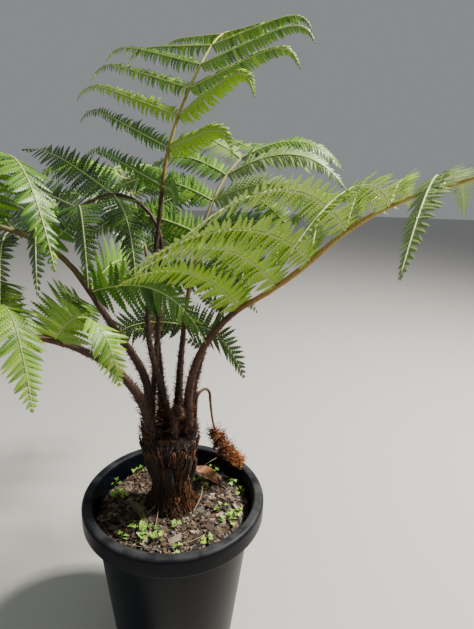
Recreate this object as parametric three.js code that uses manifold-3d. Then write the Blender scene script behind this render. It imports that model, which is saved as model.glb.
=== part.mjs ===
// Tree fern in a nursery pot.
// Millimetres, +Z up. The origin is the centre of the pot's flat underside,
// +X is the plant's right and +Y its back as the plant is looked at from the front.
import * as THREE from 'three';
import { mergeVertices } from 'three/addons/utils/BufferGeometryUtils.js';
import Module from 'manifold-3d';

const wasm = await Module();
wasm.setup();

// The pot's sizes.
const POT_HEIGHT = 280;
const POT_FOOT_RADIUS = 104;      // outside, at the underside
const POT_NECK_RADIUS = 130;      // outside, just below the collar
const POT_NECK_HEIGHT = 247;
const POT_WALL = 2.8;
const LIP_OUTER_RADIUS = 150;     // the collar's drop skirt
const LIP_INNER_RADIUS = 134;
const SKIRT_DEPTH = 31;
const SKIRT_THICKNESS = 3;
const POT_SIDES = 32;
const CLEARANCE = 0.3;

// The potting mix.
const SOIL_EDGE_HEIGHT = 246;
const SOIL_CENTRE_HEIGHT = 258;

// The trunk.
const TRUNK_X = -8;
const TRUNK_LEAN = -4;            // how far the crown stands left of the foot
const TRUNK_FOOT_RADIUS = 40;     // at the root flare
const TRUNK_WAIST_RADIUS = 27;
const TRUNK_CROWN_RADIUS = 47;
const CROWN_HEIGHT = 398;
const TRUNK_SIDES = 14;
const STUB_COUNT = 11;            // cut bases of old stalks round the trunk
const STUB_LENGTH = 62;
const STUB_RADIUS = 8.5;

// The young coiled frond.
const CROZIER_HEIGHT = 46;
const CROZIER_COIL = 9;
const CROZIER_X = 4;
const CROZIER_Y = -24;

// The fronds. For each one:
//   length   along the stalk
//   foot     angle and radius at which it stands on the crown
//   azimuth  of its heading, in degrees from +X; turn is how far it turns by the tip
//   rise     elevation of the heading at even points from crown to tip
//   girth    of the stalk, as a share of the radii below
//   bare     share of the stalk below the first pinnae
//   pairs    of pinnae; pinna is the longest one's length and width its half width
//   lift     of the pinnae above the frond's plane, at the foot and at the tip
//   droop    how hard a pinna's end hangs; late is how late that bend comes
//   sweep    of the pinnae towards the tip, at the foot and at the tip
//   roll     of the frond about its own stalk
//   split    pairs on the first length, where the blade is in two lengths
//   left     numbers of its own for the pinnae left of the heading, where the sides differ
const STALK_RADIUS = 10.5;
const RIB_RADIUS = 5.2;           // where the first pinnae stand
const RIB_TIP_RADIUS = 1.5;
const PATH_STEPS = 48;
const PINNA_TILT = 11;            // each blade overlaps the next like a shingle
const ROOT_DEPTH = 0.5;           // how far a pinna's root goes past the rib's axis, in rib radii
const FRONDS = [
  { name: 'a', length: 742, foot: [60, 6], azimuth: 38, turn: 33, rise: [102, 106, 77, 82, 58, 43, -3],
    girth: 0.55, bare: 0.52, pairs: 8, pinna: 240, width: 25, lift: [35, -8],
    droop: 2.6, late: 9, sweep: [-7, 8], roll: 5, split: 3,
    left: { lift: [15, 0], droop: 1.7, late: 8, sweep: [18, 8] } },
  { name: 'c', length: 780, foot: [232, 36], azimuth: 208, turn: 2, rise: [87, 49, 17, -3, -18, -31, -43],
    girth: 0.85, bare: 0.30, pairs: 9, pinna: 260, width: 46, lift: [65, 9],
    droop: 4.2, late: 1.8, sweep: [-1, 19], roll: 0, split: 4 },
  { name: 'b', length: 790, foot: [-18, 36], azimuth: -25, turn: -6, rise: [100, 68, 34, 47, 20, 22, -8],
    girth: 0.80, bare: 0.31, pairs: 10, pinna: 300, width: 30, lift: [52, -7],
    droop: 1.06, late: 0.85, sweep: [28, 0], roll: 0, split: 5 },
  { name: 'd', length: 867, foot: [156, 36], azimuth: 168, turn: -8, rise: [96, 95, 93, -23, -27, -22, -22],
    girth: 0.50, bare: 0.47, pairs: 8, pinna: 313, width: 36, lift: [27, 46],
    droop: 0.6, late: 2.6, sweep: [75, 16], roll: 0, split: 4,
    left: { lift: [-8, 7], droop: 2.3, late: 3.4, sweep: [-37, -32] } },
  { name: 'h', length: 820, foot: [194, 36], azimuth: 205, turn: 8.5, rise: [105, 60, 62, 10, -8, -22, -34],
    girth: 0.80, bare: 0.31, pairs: 8, pinna: 312, width: 42, lift: [54, 8],
    droop: 2.2, late: 1.6, sweep: [20, 24], roll: 0, split: 4,
    left: { lift: [57, 12], droop: 2.35, late: 1.74, sweep: [-5.6, 20] } },
  { name: 'e', length: 840, foot: [76, 36], azimuth: 76, turn: -16, rise: [84, 76, 60, 38, 15, -5, -25],
    girth: 0.75, bare: 0.19, pairs: 10, pinna: 255, width: 38, lift: [34, 8],
    droop: 1.6, late: 1.8, sweep: [6, 30], roll: 0, split: 5 },
  { name: 'f', length: 800, foot: [116, 36], azimuth: 110, turn: 8, rise: [82, 68, 52, 34, 13, -8, -28],
    girth: 0.75, bare: 0.19, pairs: 10, pinna: 250, width: 36, lift: [34, 8],
    droop: 1.8, late: 1.8, sweep: [6, 30], roll: 0, split: 4 },
  { name: 'i', length: 660, foot: [30, 36], azimuth: 36, turn: 8, rise: [88, 70, 56, 40, 18, -4, -24],
    girth: 0.65, bare: 0.20, pairs: 9, pinna: 200, width: 33, lift: [42, 14],
    droop: 1.0, late: 1.8, sweep: [6, 28], roll: 0, split: 4 },
  { name: 'dead', length: 283, foot: [7, 41], azimuth: 52, turn: -12, rise: [84, 89, -85, -79, -55, -47, -44],
    girth: 0.33, bare: 0.60, pairs: 6, pinna: 46, width: 8, lift: [10, -20],
    droop: 3, late: 0.7, sweep: [10, 30], roll: 0, split: 0 },
];
const SHORTER = [1, 0.8, 0.6, 0.42];   // tried in turn where a pinna would meet another frond

// Colour and roughness.
const COLOURS = {
  pot: [0x1b1c1e, 0.45], soil: [0x4a3a2c, 0.95], trunk: [0x2a1b13, 0.95],
  stalk: [0x4a2c1a, 0.85], blade: [0x5f9a2c, 0.6], dead: [0x8a4a22, 0.95],
};

const rad = (d) => (d * Math.PI) / 180;
const mix = (a, b, t) => a + (b - a) * t;
const vec = (x, y, z) => new THREE.Vector3(x, y, z);

// A value read off a list of knots spread evenly over 0 to 1.
function knots(list, t) {
  const i = Math.min(Math.max(t, 0), 1) * (list.length - 1);
  const k = Math.min(Math.floor(i), list.length - 2);
  return mix(list[k], list[k + 1], i - k);
}

// A repeatable number in -1 to 1 for each pair of whole numbers.
function spread(a, b) {
  const s = Math.sin(a * 12.9898 + b * 78.233) * 437.585453;
  return 2 * (s - Math.floor(s)) - 1;
}

// A closed skin over rings of points, each ring with as many points as the next. Its two
// sides fold along matching diagonals, so that a twisted blade stays as thick as it should.
function loft(rings) {
  const n = rings[0].length;
  const position = new Float32Array(rings.flat().flatMap((p) => [p.x, p.y, p.z]));
  const index = [];
  for (let r = 0; r + 1 < rings.length; r += 1) {
    for (let k = 0; k < n; k += 1) {
      const a = r * n + k;
      const b = r * n + ((k + 1) % n);
      if (2 * k < n) index.push(a, b, b + n, a, b + n, a + n);
      else index.push(a, b, a + n, b, b + n, a + n);
    }
  }
  const last = (rings.length - 1) * n;
  for (let k = 1; k + 1 < n; k += 1) {
    index.push(0, k + 1, k, last, last + k, last + k + 1);
  }
  const geometry = new THREE.BufferGeometry();
  geometry.setAttribute('position', new THREE.BufferAttribute(position, 3));
  geometry.setIndex(index);
  return geometry;
}

// A round tube of changing radius along a list of points. Each ring is square to the
// line through its neighbours, or to the direction given for it.
function tube(points, radii, sides, ways = []) {
  const rings = [];
  let across = null;
  for (let i = 0; i < points.length; i += 1) {
    const a = points[Math.max(i - 1, 0)];
    const b = points[Math.min(i + 1, points.length - 1)];
    const along = (ways[i] || b.clone().sub(a)).clone().normalize();
    if (!across) across = Math.abs(along.z) > 0.8 ? vec(1, 0, 0) : vec(0, 0, 1);
    across = across.clone().sub(along.clone().multiplyScalar(across.dot(along))).normalize();
    const up = along.clone().cross(across);
    const ring = [];
    for (let k = 0; k < sides; k += 1) {
      const t = (2 * Math.PI * k) / sides;
      ring.push(points[i].clone()
        .addScaledVector(across, Math.cos(t) * radii[i])
        .addScaledVector(up, Math.sin(t) * radii[i]));
    }
    rings.push(ring);
  }
  return loft(rings);
}

function solid(geometry) {
  const g = geometry.clone();
  g.deleteAttribute('normal');
  g.deleteAttribute('uv');
  const m = mergeVertices(g, 1e-4);
  const make = (tri) => new wasm.Manifold(new wasm.Mesh({
    numProp: 3,
    vertProperties: new Float32Array(m.attributes.position.array),
    triVerts: new Uint32Array(tri),
  }));
  let out = make(m.index.array);
  if (out.volume() < 0) {
    const tri = Array.from(m.index.array);
    for (let i = 0; i < tri.length; i += 3) [tri[i], tri[i + 1]] = [tri[i + 1], tri[i]];
    out = make(tri);
  }
  return out;
}

// A cut can leave needles, triangles whose third corner lies all but on their longest
// side. That side is turned to join the corner to the one across it, so no needle is left.
const NEEDLE_HEIGHT = 0.004;
function turnNeedles(position, tri) {
  const corner = (i) => vec(position[3 * i], position[3 * i + 1], position[3 * i + 2]);
  const owner = new Map();
  const own = (t) => [0, 1, 2].forEach((k) => owner.set(`${tri[t + k]} ${tri[t + ((k + 1) % 3)]}`, t));
  for (let t = 0; t < tri.length; t += 3) own(t);
  for (let t = 0; t < tri.length; t += 3) {
    const sides = [0, 1, 2].map((k) => corner(tri[t + k]).distanceTo(corner(tri[t + ((k + 1) % 3)])));
    const k = sides.indexOf(Math.max(...sides));
    const [a, b, c] = [0, 1, 2].map((j) => tri[t + ((k + j) % 3)]);
    const height = corner(b).sub(corner(a)).cross(corner(c).sub(corner(a))).length() / sides[k];
    const next = owner.get(`${b} ${a}`);
    const d = tri.slice(next, next + 3).find((v) => v !== a && v !== b);
    if (height > NEEDLE_HEIGHT || owner.has(`${c} ${d}`) || owner.has(`${d} ${c}`)) continue;
    owner.delete(`${a} ${b}`);
    owner.delete(`${b} ${a}`);
    tri.splice(t, 3, a, d, c);
    tri.splice(next, 3, d, b, c);
    own(t);
    own(next);
  }
}

function geometryOf(manifold) {
  const mesh = manifold.getMesh();
  const position = new Float32Array(mesh.numVert * 3);
  for (let i = 0; i < mesh.numVert; i += 1) {
    for (let k = 0; k < 3; k += 1) position[3 * i + k] = mesh.vertProperties[i * mesh.numProp + k];
  }
  const tri = Array.from(mesh.triVerts);
  turnNeedles(position, tri);
  const g = new THREE.BufferGeometry();
  g.setAttribute('position', new THREE.BufferAttribute(position, 3));
  g.setIndex(tri);
  g.computeVertexNormals();
  return g;
}

const fern = new THREE.Group();
function add(name, manifold, look) {
  const [color, roughness] = COLOURS[look];
  const material = new THREE.MeshStandardMaterial({ color, roughness, metalness: 0 });
  const mesh = new THREE.Mesh(geometryOf(manifold), material);
  mesh.name = name;
  fern.add(mesh);
}

// The pot: a tapering tub whose rim turns out over the top and hangs as a skirt.
const potInner = (z) => mix(POT_FOOT_RADIUS, POT_NECK_RADIUS, z / POT_NECK_HEIGHT) - POT_WALL;
const potProfile = [
  [0, 0], [POT_FOOT_RADIUS, 0], [POT_NECK_RADIUS, POT_NECK_HEIGHT],
  [LIP_INNER_RADIUS + POT_WALL, POT_HEIGHT - 4], [LIP_OUTER_RADIUS - SKIRT_THICKNESS, POT_HEIGHT - 4],
  [LIP_OUTER_RADIUS - SKIRT_THICKNESS, POT_HEIGHT - SKIRT_DEPTH],
  [LIP_OUTER_RADIUS, POT_HEIGHT - SKIRT_DEPTH],
  [LIP_OUTER_RADIUS, POT_HEIGHT - 4], [LIP_OUTER_RADIUS - 4, POT_HEIGHT],
  [LIP_INNER_RADIUS + 1, POT_HEIGHT], [LIP_INNER_RADIUS - 2, POT_HEIGHT - 5],
  [potInner(POT_NECK_HEIGHT), POT_NECK_HEIGHT], [potInner(POT_WALL), POT_WALL], [0, POT_WALL],
];
function lathe(profile, sides) {
  const g = new THREE.LatheGeometry(profile.map(([r, z]) => new THREE.Vector2(r, z)), sides);
  g.rotateX(Math.PI / 2);
  return solid(g);
}
const pot = lathe(potProfile, POT_SIDES);

// The trunk: a fibrous stump that flares at the foot, narrows, and swells to the crown.
const trunkProfile = [
  [SOIL_CENTRE_HEIGHT + CLEARANCE, TRUNK_FOOT_RADIUS], [SOIL_CENTRE_HEIGHT + 14, TRUNK_FOOT_RADIUS - 7],
  [SOIL_CENTRE_HEIGHT + 38, TRUNK_WAIST_RADIUS + 1], [SOIL_CENTRE_HEIGHT + 66, TRUNK_WAIST_RADIUS + 3],
  [SOIL_CENTRE_HEIGHT + 100, TRUNK_CROWN_RADIUS - 9], [CROWN_HEIGHT - 12, TRUNK_CROWN_RADIUS],
  [CROWN_HEIGHT, TRUNK_CROWN_RADIUS - 2],
];
const trunkAxis = (z) => vec(
  TRUNK_X - TRUNK_LEAN + (TRUNK_LEAN * (z - SOIL_CENTRE_HEIGHT)) / (CROWN_HEIGHT - SOIL_CENTRE_HEIGHT), 0, z);
let trunk = solid(loft(trunkProfile.map(([z, r], i) => {
  const ring = [];
  for (let k = 0; k < TRUNK_SIDES; k += 1) {
    const t = (2 * Math.PI * k) / TRUNK_SIDES;
    const s = r * (1 + 0.07 * spread(k, 3) * (i < trunkProfile.length - 1 ? 1 : 0.3));
    ring.push(trunkAxis(z).add(vec(Math.cos(t) * s, Math.sin(t) * s, 0)));
  }
  return ring;
})));
for (let k = 0; k < STUB_COUNT; k += 1) {
  const t = k * rad(137.5);
  const z = mix(SOIL_CENTRE_HEIGHT + 22, CROWN_HEIGHT - 74, (k + 0.5) / STUB_COUNT);
  const out = vec(Math.cos(t), Math.sin(t), 0);
  const foot = trunkAxis(z).addScaledVector(out, TRUNK_WAIST_RADIUS - 8);
  const top = trunkAxis(z + STUB_LENGTH).addScaledVector(out, TRUNK_WAIST_RADIUS + 13 + 4 * spread(k, 5));
  trunk = trunk.add(solid(tube([foot, foot.clone().lerp(top, 0.5).addScaledVector(out, 2), top],
    [STUB_RADIUS, STUB_RADIUS, STUB_RADIUS * 0.6], 5)));
}

// The potting mix fills the pot to just under the rim and mounds up to the trunk.
const soil = lathe([
  [0, POT_WALL + CLEARANCE], [potInner(POT_WALL + CLEARANCE) - CLEARANCE - 0.2, POT_WALL + CLEARANCE],
  [potInner(SOIL_EDGE_HEIGHT) - CLEARANCE - 0.2, SOIL_EDGE_HEIGHT], [96, SOIL_EDGE_HEIGHT + 6],
  [52, SOIL_CENTRE_HEIGHT], [0, SOIL_CENTRE_HEIGHT],
], POT_SIDES);

// A young frond still coiled: a short stalk that rolls up into a disc.
const crozierPath = [];
for (let i = 0; i <= 12; i += 1) {
  const t = i / 12;
  const rise = Math.min(t / 0.4, 1) * CROZIER_HEIGHT;
  const turn = Math.max(t - 0.4, 0) / 0.6 * rad(430);
  const r = mix(CROZIER_COIL, 3.5, turn / rad(430));
  const across = CROZIER_COIL - Math.cos(turn) * r;
  crozierPath.push(vec(across * 0.8, -across * 0.6, rise + Math.sin(turn) * r)
    .add(vec(CROZIER_X, CROZIER_Y, CROWN_HEIGHT + CLEARANCE)));
}
let crozier = solid(tube(crozierPath.slice(0, 6), [6, 5.6, 5.2, 4.9, 4.6, 4.4], 5, [vec(0, 0, 1)]));
for (let i = 5; i < 12; i += 1) {
  const radii = [4.6, 4.4].map((r) => r - (i - 5) * 0.12);
  crozier = crozier.add(solid(tube([crozierPath[i], crozierPath[i + 1]], radii, 5)));
}

add('pot', pot, 'pot');
add('crozier', crozier, 'stalk');
add('potting_mix', soil, 'soil');
add('trunk', trunk, 'trunk');

// The stalk's course: heading elevation from the knots, azimuth turning evenly,
// stepped out from the crown's top.
function course(f) {
  const [angle, radius] = f.foot;
  const points = [vec(TRUNK_X + Math.cos(rad(angle)) * radius, Math.sin(rad(angle)) * radius,
    CROWN_HEIGHT + CLEARANCE)];
  const step = f.length / PATH_STEPS;
  for (let i = 0; i < PATH_STEPS; i += 1) {
    const u = (i + 0.5) / PATH_STEPS;
    const az = rad(f.azimuth + f.turn * u);
    const el = rad(knots(f.rise, u));
    points.push(points[i].clone().add(
      vec(Math.cos(el) * Math.cos(az), Math.cos(el) * Math.sin(az), Math.sin(el)).multiplyScalar(step)));
  }
  return points;
}
function at(points, u) {
  const i = u * PATH_STEPS;
  const k = Math.min(Math.floor(i), PATH_STEPS - 1);
  return points[k].clone().lerp(points[k + 1], i - k);
}
function heading(points, u) {
  return at(points, Math.min(u + 0.01, 1)).sub(at(points, Math.max(u - 0.01, 0))).normalize();
}
const stalkRadius = (f, u) => f.girth * (u < f.bare
  ? mix(STALK_RADIUS, RIB_RADIUS, (u / f.bare) ** 0.7)
  : mix(RIB_RADIUS, RIB_TIP_RADIUS, (u - f.bare) / (1 - f.bare)));

// Share of the way up the leafy part at which pair k stands, and the pinna's length there.
const stand = (f, k) => (k / (f.pairs - 0.35)) ** 0.94;
const fullness = (v) => (0.66 + 0.34 * Math.min(1, v / 0.3) ** 0.8) * (1 - v ** 2.6) ** 0.8;

// The course of pinna k on one side (+1 right of the heading, -1 left): it leaves
// square to the stalk, swept forward and lifted, then droops under its own weight.
function pinna(frond, points, k, side, share) {
  const f = side < 0 ? { ...frond, ...frond.left } : frond;
  const v = stand(f, k);
  const u = f.bare + (1 - f.bare) * v;
  const az = rad(f.azimuth + f.turn * u);
  const along = heading(points, u);
  let across = vec(Math.sin(az), -Math.cos(az), 0);
  let normal = across.clone().cross(along).normalize();
  const roll = rad(f.roll);
  [across, normal] = [
    across.clone().multiplyScalar(Math.cos(roll)).addScaledVector(normal, Math.sin(roll)),
    normal.clone().multiplyScalar(Math.cos(roll)).addScaledVector(across, -Math.sin(roll)),
  ];
  const seed = FRONDS.indexOf(frond) * 40 + k;
  const length = f.pinna * fullness(v) * (1 + 0.05 * spread(seed, side + 2)) * share;
  const sweep = rad(mix(f.sweep[0], f.sweep[1], v) + 4 * spread(seed, side + 5));
  const lift = rad(mix(f.lift[0], f.lift[1], v) + 4 * spread(seed, side + 8));
  const out = across.clone().multiplyScalar(side * Math.cos(sweep)).addScaledVector(along, Math.sin(sweep))
    .multiplyScalar(Math.cos(lift)).addScaledVector(normal, Math.sin(lift));
  const q = length > 120 ? [0, 0.05, 0.2, 0.36, 0.5, 0.66, 1] : [0, 0.07, 0.34, 0.62, 1];
  const fine = 24;
  const line = [at(points, u).addScaledVector(out, -ROOT_DEPTH * stalkRadius(f, u))];
  for (let i = 0; i < fine; i += 1) {
    const d = out.clone().addScaledVector(vec(0, 0, -1), f.droop * ((i + 0.5) / fine * share) ** f.late);
    line.push(line[i].clone().addScaledVector(d.normalize(), length / fine));
  }
  const half = Math.min(f.width * (1 - 0.35 * v), length * 0.3);
  const widths = length > 120
    ? [1.5, 2.2, half, half * 0.62, half * 0.86, half * 0.4, 0.8]
    : [1.2, 1.8, half, half * 0.55, 0.7];
  const tilt = rad(PINNA_TILT);
  return q.map((t, i) => {
    const p = line[Math.round(t * fine)];
    const a = line[Math.max(Math.round(t * fine) - 1, 0)];
    const b = line[Math.min(Math.round(t * fine) + 1, fine)];
    const m = b.clone().sub(a).normalize();
    const w0 = along.clone().sub(m.clone().multiplyScalar(along.dot(m))).normalize();
    const n0 = w0.clone().cross(m).multiplyScalar(-side).normalize();
    const w = w0.clone().multiplyScalar(Math.cos(tilt)).addScaledVector(n0, Math.sin(tilt));
    const n = n0.clone().multiplyScalar(Math.cos(tilt)).addScaledVector(w0, -Math.sin(tilt));
    const thick = mix(1.5, 0.6, t) * (length > 120 ? 1 : 0.75);
    return [p.clone().addScaledVector(w, widths[i]), p.clone().addScaledVector(n, thick),
      p.clone().addScaledVector(w, -widths[i]), p.clone().addScaledVector(n, -thick)];
  });
}

// Each frond is a bare stalk and one or two lengths of leafy blade, a hair apart.
// Stalks and ribs stand first. A pinna that would meet another piece is grown shorter,
// or left off.
const pieces = [];
for (const f of FRONDS) {
  const points = course(f);
  const gap = (3 * CLEARANCE) / f.length;
  const leafy = f.bare - 0.012;
  const run = (from, to, steps, sides) => {
    const us = Array.from({ length: steps + 1 }, (_, i) => mix(from, to, i / steps));
    const ways = us.map((u) => (u ? heading(points, u) : vec(0, 0, 1)));
    return solid(tube(us.map((u) => at(points, u)), us.map((u) => stalkRadius(f, u)), sides, ways));
  };
  const dead = f.name === 'dead';
  const stalk = run(0, leafy - gap, 7, 7);
  pieces.push({ name: `frond_${f.name}_stalk`, f, points, look: dead ? 'dead' : 'stalk', whole: stalk });
  const bend = f.bare + (1 - f.bare) * 0.5 * (stand(f, f.split - 1) + stand(f, f.split));
  const ends = f.split ? [leafy, bend, 1] : [leafy, 1];
  for (let i = 0; i + 1 < ends.length; i += 1) {
    const to = ends[i + 1] - (i + 2 < ends.length ? gap : 0);
    const rib = run(ends[i], to, f.split ? 7 : 8, 5);
    const name = `frond_${f.name}_blade${f.split ? `_${i + 1}` : ''}`;
    const look = dead ? 'dead' : 'blade';
    pieces.push({ name, f, points, look, from: ends[i], to: ends[i + 1], whole: rib });
  }
}
const touch = (a, b) => {
  const [p, q] = [a.boundingBox(), b.boundingBox()];
  return [0, 1, 2].every((k) => p.min[k] <= q.max[k] && q.min[k] <= p.max[k]) && !a.intersect(b).isEmpty();
};
const fatten = (ring) => {
  const c = ring[0].clone().add(ring[2]).multiplyScalar(0.5);
  return ring.map((p) => p.clone().addScaledVector(p.clone().sub(c).normalize(), 2 * CLEARANCE));
};
for (const piece of pieces.filter((x) => x.to)) {
  const { f, points } = piece;
  const others = [pot, soil, trunk, crozier, ...pieces.filter((x) => x !== piece).map((x) => x.whole)];
  for (let k = 0; k < f.pairs; k += 1) {
    const u = f.bare + (1 - f.bare) * stand(f, k);
    if (u < piece.from || u >= piece.to) continue;
    for (const side of [1, -1]) {
      const share = SHORTER.find((s) => {
        const room = solid(loft(pinna(f, points, k, side, s).map(fatten)));
        return !others.some((other) => touch(room, other));
      });
      if (share) piece.whole = piece.whole.add(solid(loft(pinna(f, points, k, side, share))));
      if (share !== 1) fern.userData[`${f.name}_${k}_${side}`] = share || 0;
    }
  }
}

// Pinnae that fold over each other can shut in a hollow: only the outer skin is kept.
const outerSkin = (whole) => whole.decompose().reduce((a, b) => (b.volume() > a.volume() ? b : a));
pieces.forEach((piece) => add(piece.name, outerSkin(piece.whole), piece.look));

export default fern;
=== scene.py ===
"""A young tree fern in its black nursery pot.

Blender works in metres. Lengths here are in millimetres, as the plant is measured, and MM turns
them into metres where a mesh is made.
"""
import itertools

import bpy
import numpy as np
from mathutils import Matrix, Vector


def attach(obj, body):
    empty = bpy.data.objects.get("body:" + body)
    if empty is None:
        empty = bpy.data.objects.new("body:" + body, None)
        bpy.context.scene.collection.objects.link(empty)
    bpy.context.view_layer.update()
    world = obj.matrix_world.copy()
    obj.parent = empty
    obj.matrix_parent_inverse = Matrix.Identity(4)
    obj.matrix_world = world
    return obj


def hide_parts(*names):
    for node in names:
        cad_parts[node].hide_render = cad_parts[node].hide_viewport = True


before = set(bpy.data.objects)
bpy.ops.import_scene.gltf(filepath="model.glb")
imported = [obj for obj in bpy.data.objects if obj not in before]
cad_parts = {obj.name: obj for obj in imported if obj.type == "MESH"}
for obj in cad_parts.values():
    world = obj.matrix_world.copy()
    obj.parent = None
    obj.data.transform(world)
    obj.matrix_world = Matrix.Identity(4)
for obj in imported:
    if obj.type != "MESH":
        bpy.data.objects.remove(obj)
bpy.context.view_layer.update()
MM = 0.001

# The pot. A black nursery pot, a tapering tub whose rim turns out over the top and hangs as a
# skirt. It is one plastic moulding, a little out of round, dusty on the rim and scuffed, and its
# rim carries a painted highlight laid in the same grey as the dust.
POT_HEIGHT = 280
POT_FOOT_RADIUS = 104
POT_NECK_RADIUS = 130
POT_NECK_HEIGHT = 247
POT_WALL = 2.8
LIP_OUTER_RADIUS = 150
LIP_INNER_RADIUS = 134
SKIRT_DEPTH = 31
SKIRT_THICKNESS = 3
POT_EDGE_RADIUS = 3.2
POT_SIDES = 192
POT_OUT_OF_ROUND = 0.006
CLEARANCE = 0.3
POT_BLACK = (0.0020, 0.0030, 0.0064)
# The grey of the pot's dust; on the up-facing rim it is also a painted highlight.
POT_DUST_AND_HIGHLIGHT = (0.085, 0.088, 0.094)


def eased(corners, radius, steps=6):
    """An outline with its corners rounded: each corner c becomes the curve
    (1 - t)^2 p + 2 t (1 - t) c + t^2 q, from a point p on the side before it to a point q on the
    side after it, both at that radius from c or 0.45 of the side."""
    c = np.asarray(corners, float)
    before, after = c[:-2] - c[1:-1], c[2:] - c[1:-1]

    def reach(side):
        size = np.linalg.norm(side, axis=1, keepdims=True)
        return side / size * np.minimum(radius, 0.45 * size)

    t = np.linspace(0, 1, steps)[None, :, None]
    p, q = (c[1:-1] + reach(before))[:, None], (c[1:-1] + reach(after))[:, None]
    bends = (1 - t) ** 2 * p + 2 * t * (1 - t) * c[1:-1, None] + t**2 * q
    return np.vstack([c[:1], bends.reshape(-1, 2), c[-1:]])


def turned(outline, sides):
    """An outline of (radius, height) carried round the upright axis: (r cos a, r sin a, z)."""
    a = np.arange(sides) * 2 * np.pi / sides
    r, z = outline[:, :1], outline[:, 1:]
    return np.stack([r * np.cos(a), r * np.sin(a), z + 0 * a], -1)


def net(rows, columns):
    """Two triangles for each cell of a grid of points whose last column joins the first."""
    r = np.arange(rows - 1)[:, None] * columns
    c = np.arange(columns)[None]
    a, b = r + c, r + (c + 1) % columns
    return np.stack([a, b, b + columns, a, b + columns, a + columns], -1).reshape(-1, 3)


def rough(points, size, seed):
    """Smooth unevenness from -1 to 1: random numbers stand on a lattice of that size and are
    blended between its corners by 3 t^2 - 2 t^3 along each axis."""
    p = np.asarray(points, float) / size + 31.7 * seed
    cell = np.floor(p)
    t = (p - cell) ** 2 * (3 - 2 * (p - cell))
    total = 0
    for corner in itertools.product((0, 1), repeat=3):
        share = np.prod(np.where(corner, t, 1 - t), axis=-1)
        raw = np.sin((cell + corner) @ (127.1, 311.7, 74.7)) * 43758.5453
        total = total + share * (2 * (raw - np.floor(raw)) - 1)
    return total


def place(name, slot, points, faces, looks, tints=None, marks=None, join=False, smooth=True):
    """Puts a mesh of triangles in the scene, riding with the plant. looks are its materials and
    tints says which one each triangle has. marks are named numbers, one for each point. With
    join, points that fall together become one and triangles that close up are dropped."""
    points = np.asarray(points, float).reshape(-1, 3)
    marks = {key: np.asarray(value, float).ravel() for key, value in (marks or {}).items()}
    tints = np.zeros(len(faces)) if tints is None else np.asarray(tints)
    if join:
        _, first, same = np.unique(
            np.round(points, 3), axis=0, return_index=True, return_inverse=True
        )
        points, faces = points[first], same.ravel()[faces]
        marks = {key: value[first] for key, value in marks.items()}
        apart = (faces != np.roll(faces, 1, axis=1)).all(axis=1)
        faces, tints = faces[apart], tints[apart]
    mesh = bpy.data.meshes.new(name)
    mesh.vertices.add(len(points))
    mesh.vertices.foreach_set("co", (points * MM).astype(np.float32).ravel())
    mesh.loops.add(faces.size)
    mesh.loops.foreach_set("vertex_index", faces.astype(np.int32).ravel())
    mesh.polygons.add(len(faces))
    mesh.polygons.foreach_set("loop_start", np.arange(0, faces.size, 3, dtype=np.int32))
    mesh.polygons.foreach_set("material_index", tints.astype(np.int32))
    mesh.polygons.foreach_set("use_smooth", np.full(len(faces), smooth))
    mesh.update(calc_edges=True)
    for key, value in marks.items():
        mesh.attributes.new(key, "FLOAT", "POINT").data.foreach_set("value", value.astype(np.float32))
    for look in looks:
        mesh.materials.append(look)
    piece = bpy.data.objects.new(name, mesh)
    bpy.context.scene.collection.objects.link(piece)
    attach(piece, "root")
    return piece


def wire(look, socket, value):
    """Links a socket to another node's output, or sets it to a number or a colour."""
    if isinstance(value, bpy.types.NodeSocket):
        look.node_tree.links.new(value, socket)
    elif isinstance(value, tuple) and len(value) == 3 and len(socket.default_value) == 4:
        socket.default_value = (*value, 1)
    else:
        socket.default_value = value


def node(look, kind, inputs, **settings):
    """Adds a node of that kind to a material and wires its inputs by name."""
    made = look.node_tree.nodes.new("ShaderNode" + kind)
    for key, value in settings.items():
        setattr(made, key, value)
    for key, value in inputs.items():
        wire(look, made.inputs[key], value)
    return made


def blend(look, share, a, b):
    """Colour a going over to colour b as share goes from 0 to 1."""
    made = node(look, "Mix", {0: share, 6: a, 7: b}, data_type="RGBA")
    return made.outputs[2]


def between(look, value, low, high, at_low=0.0, at_high=1.0):
    """A number carried evenly from low..high to at_low..at_high, and held there past the ends."""
    reach = {"Value": value, "From Min": low, "From Max": high, "To Min": at_low, "To Max": at_high}
    return node(look, "MapRange", reach).outputs[0]


def combined(look, operation, a, b, clamp=False):
    """Two numbers put together by that operation."""
    return node(look, "Math", {0: a, 1: b}, operation=operation, use_clamp=clamp).outputs[0]


def noise(look, scale, detail=4, stretch=(1, 1, 1)):
    """Noise from 0 to 1 on the piece's own coordinates, in metres, drawn out by stretch."""
    where = node(look, "TexCoord", {}).outputs["Object"]
    turned_to = node(look, "Mapping", {"Vector": where, "Scale": stretch}).outputs[0]
    return node(look, "TexNoise", {"Vector": turned_to, "Scale": scale, "Detail": detail}).outputs[0]


def height_of(look):
    """The height of a point of the piece, in metres."""
    where = node(look, "TexCoord", {}).outputs["Object"]
    return node(look, "SeparateXYZ", {0: where}).outputs[2]


def fresh(name):
    """A new material that holds its surface node."""
    look = bpy.data.materials.new(name)
    look.use_nodes = True
    return look


def finish(look, base, roughness, bump=None, depth=0.0, **sockets):
    """Sets a material's surface: its base colour and roughness, each plain or another node's
    output, raised by bump to that depth in metres. sockets are its other plain settings."""
    shader = look.node_tree.nodes["Principled BSDF"]
    wire(look, shader.inputs["Base Color"], base)
    wire(look, shader.inputs["Roughness"], roughness)
    for key, value in sockets.items():
        shader.inputs[key.replace("_", " ").title().replace("Ior", "IOR")].default_value = value
    if bump is not None:
        raised = node(look, "Bump", {"Height": bump, "Distance": depth, "Strength": 1.0})
        wire(look, shader.inputs["Normal"], raised.outputs[0])
    return look


def plain(name, tints, roughness, **sockets):
    """A row of numbered materials, one for each tint."""
    return [finish(fresh(f"{name} {k + 1}"), tint, roughness, **sockets) for k, tint in enumerate(tints)]


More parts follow.
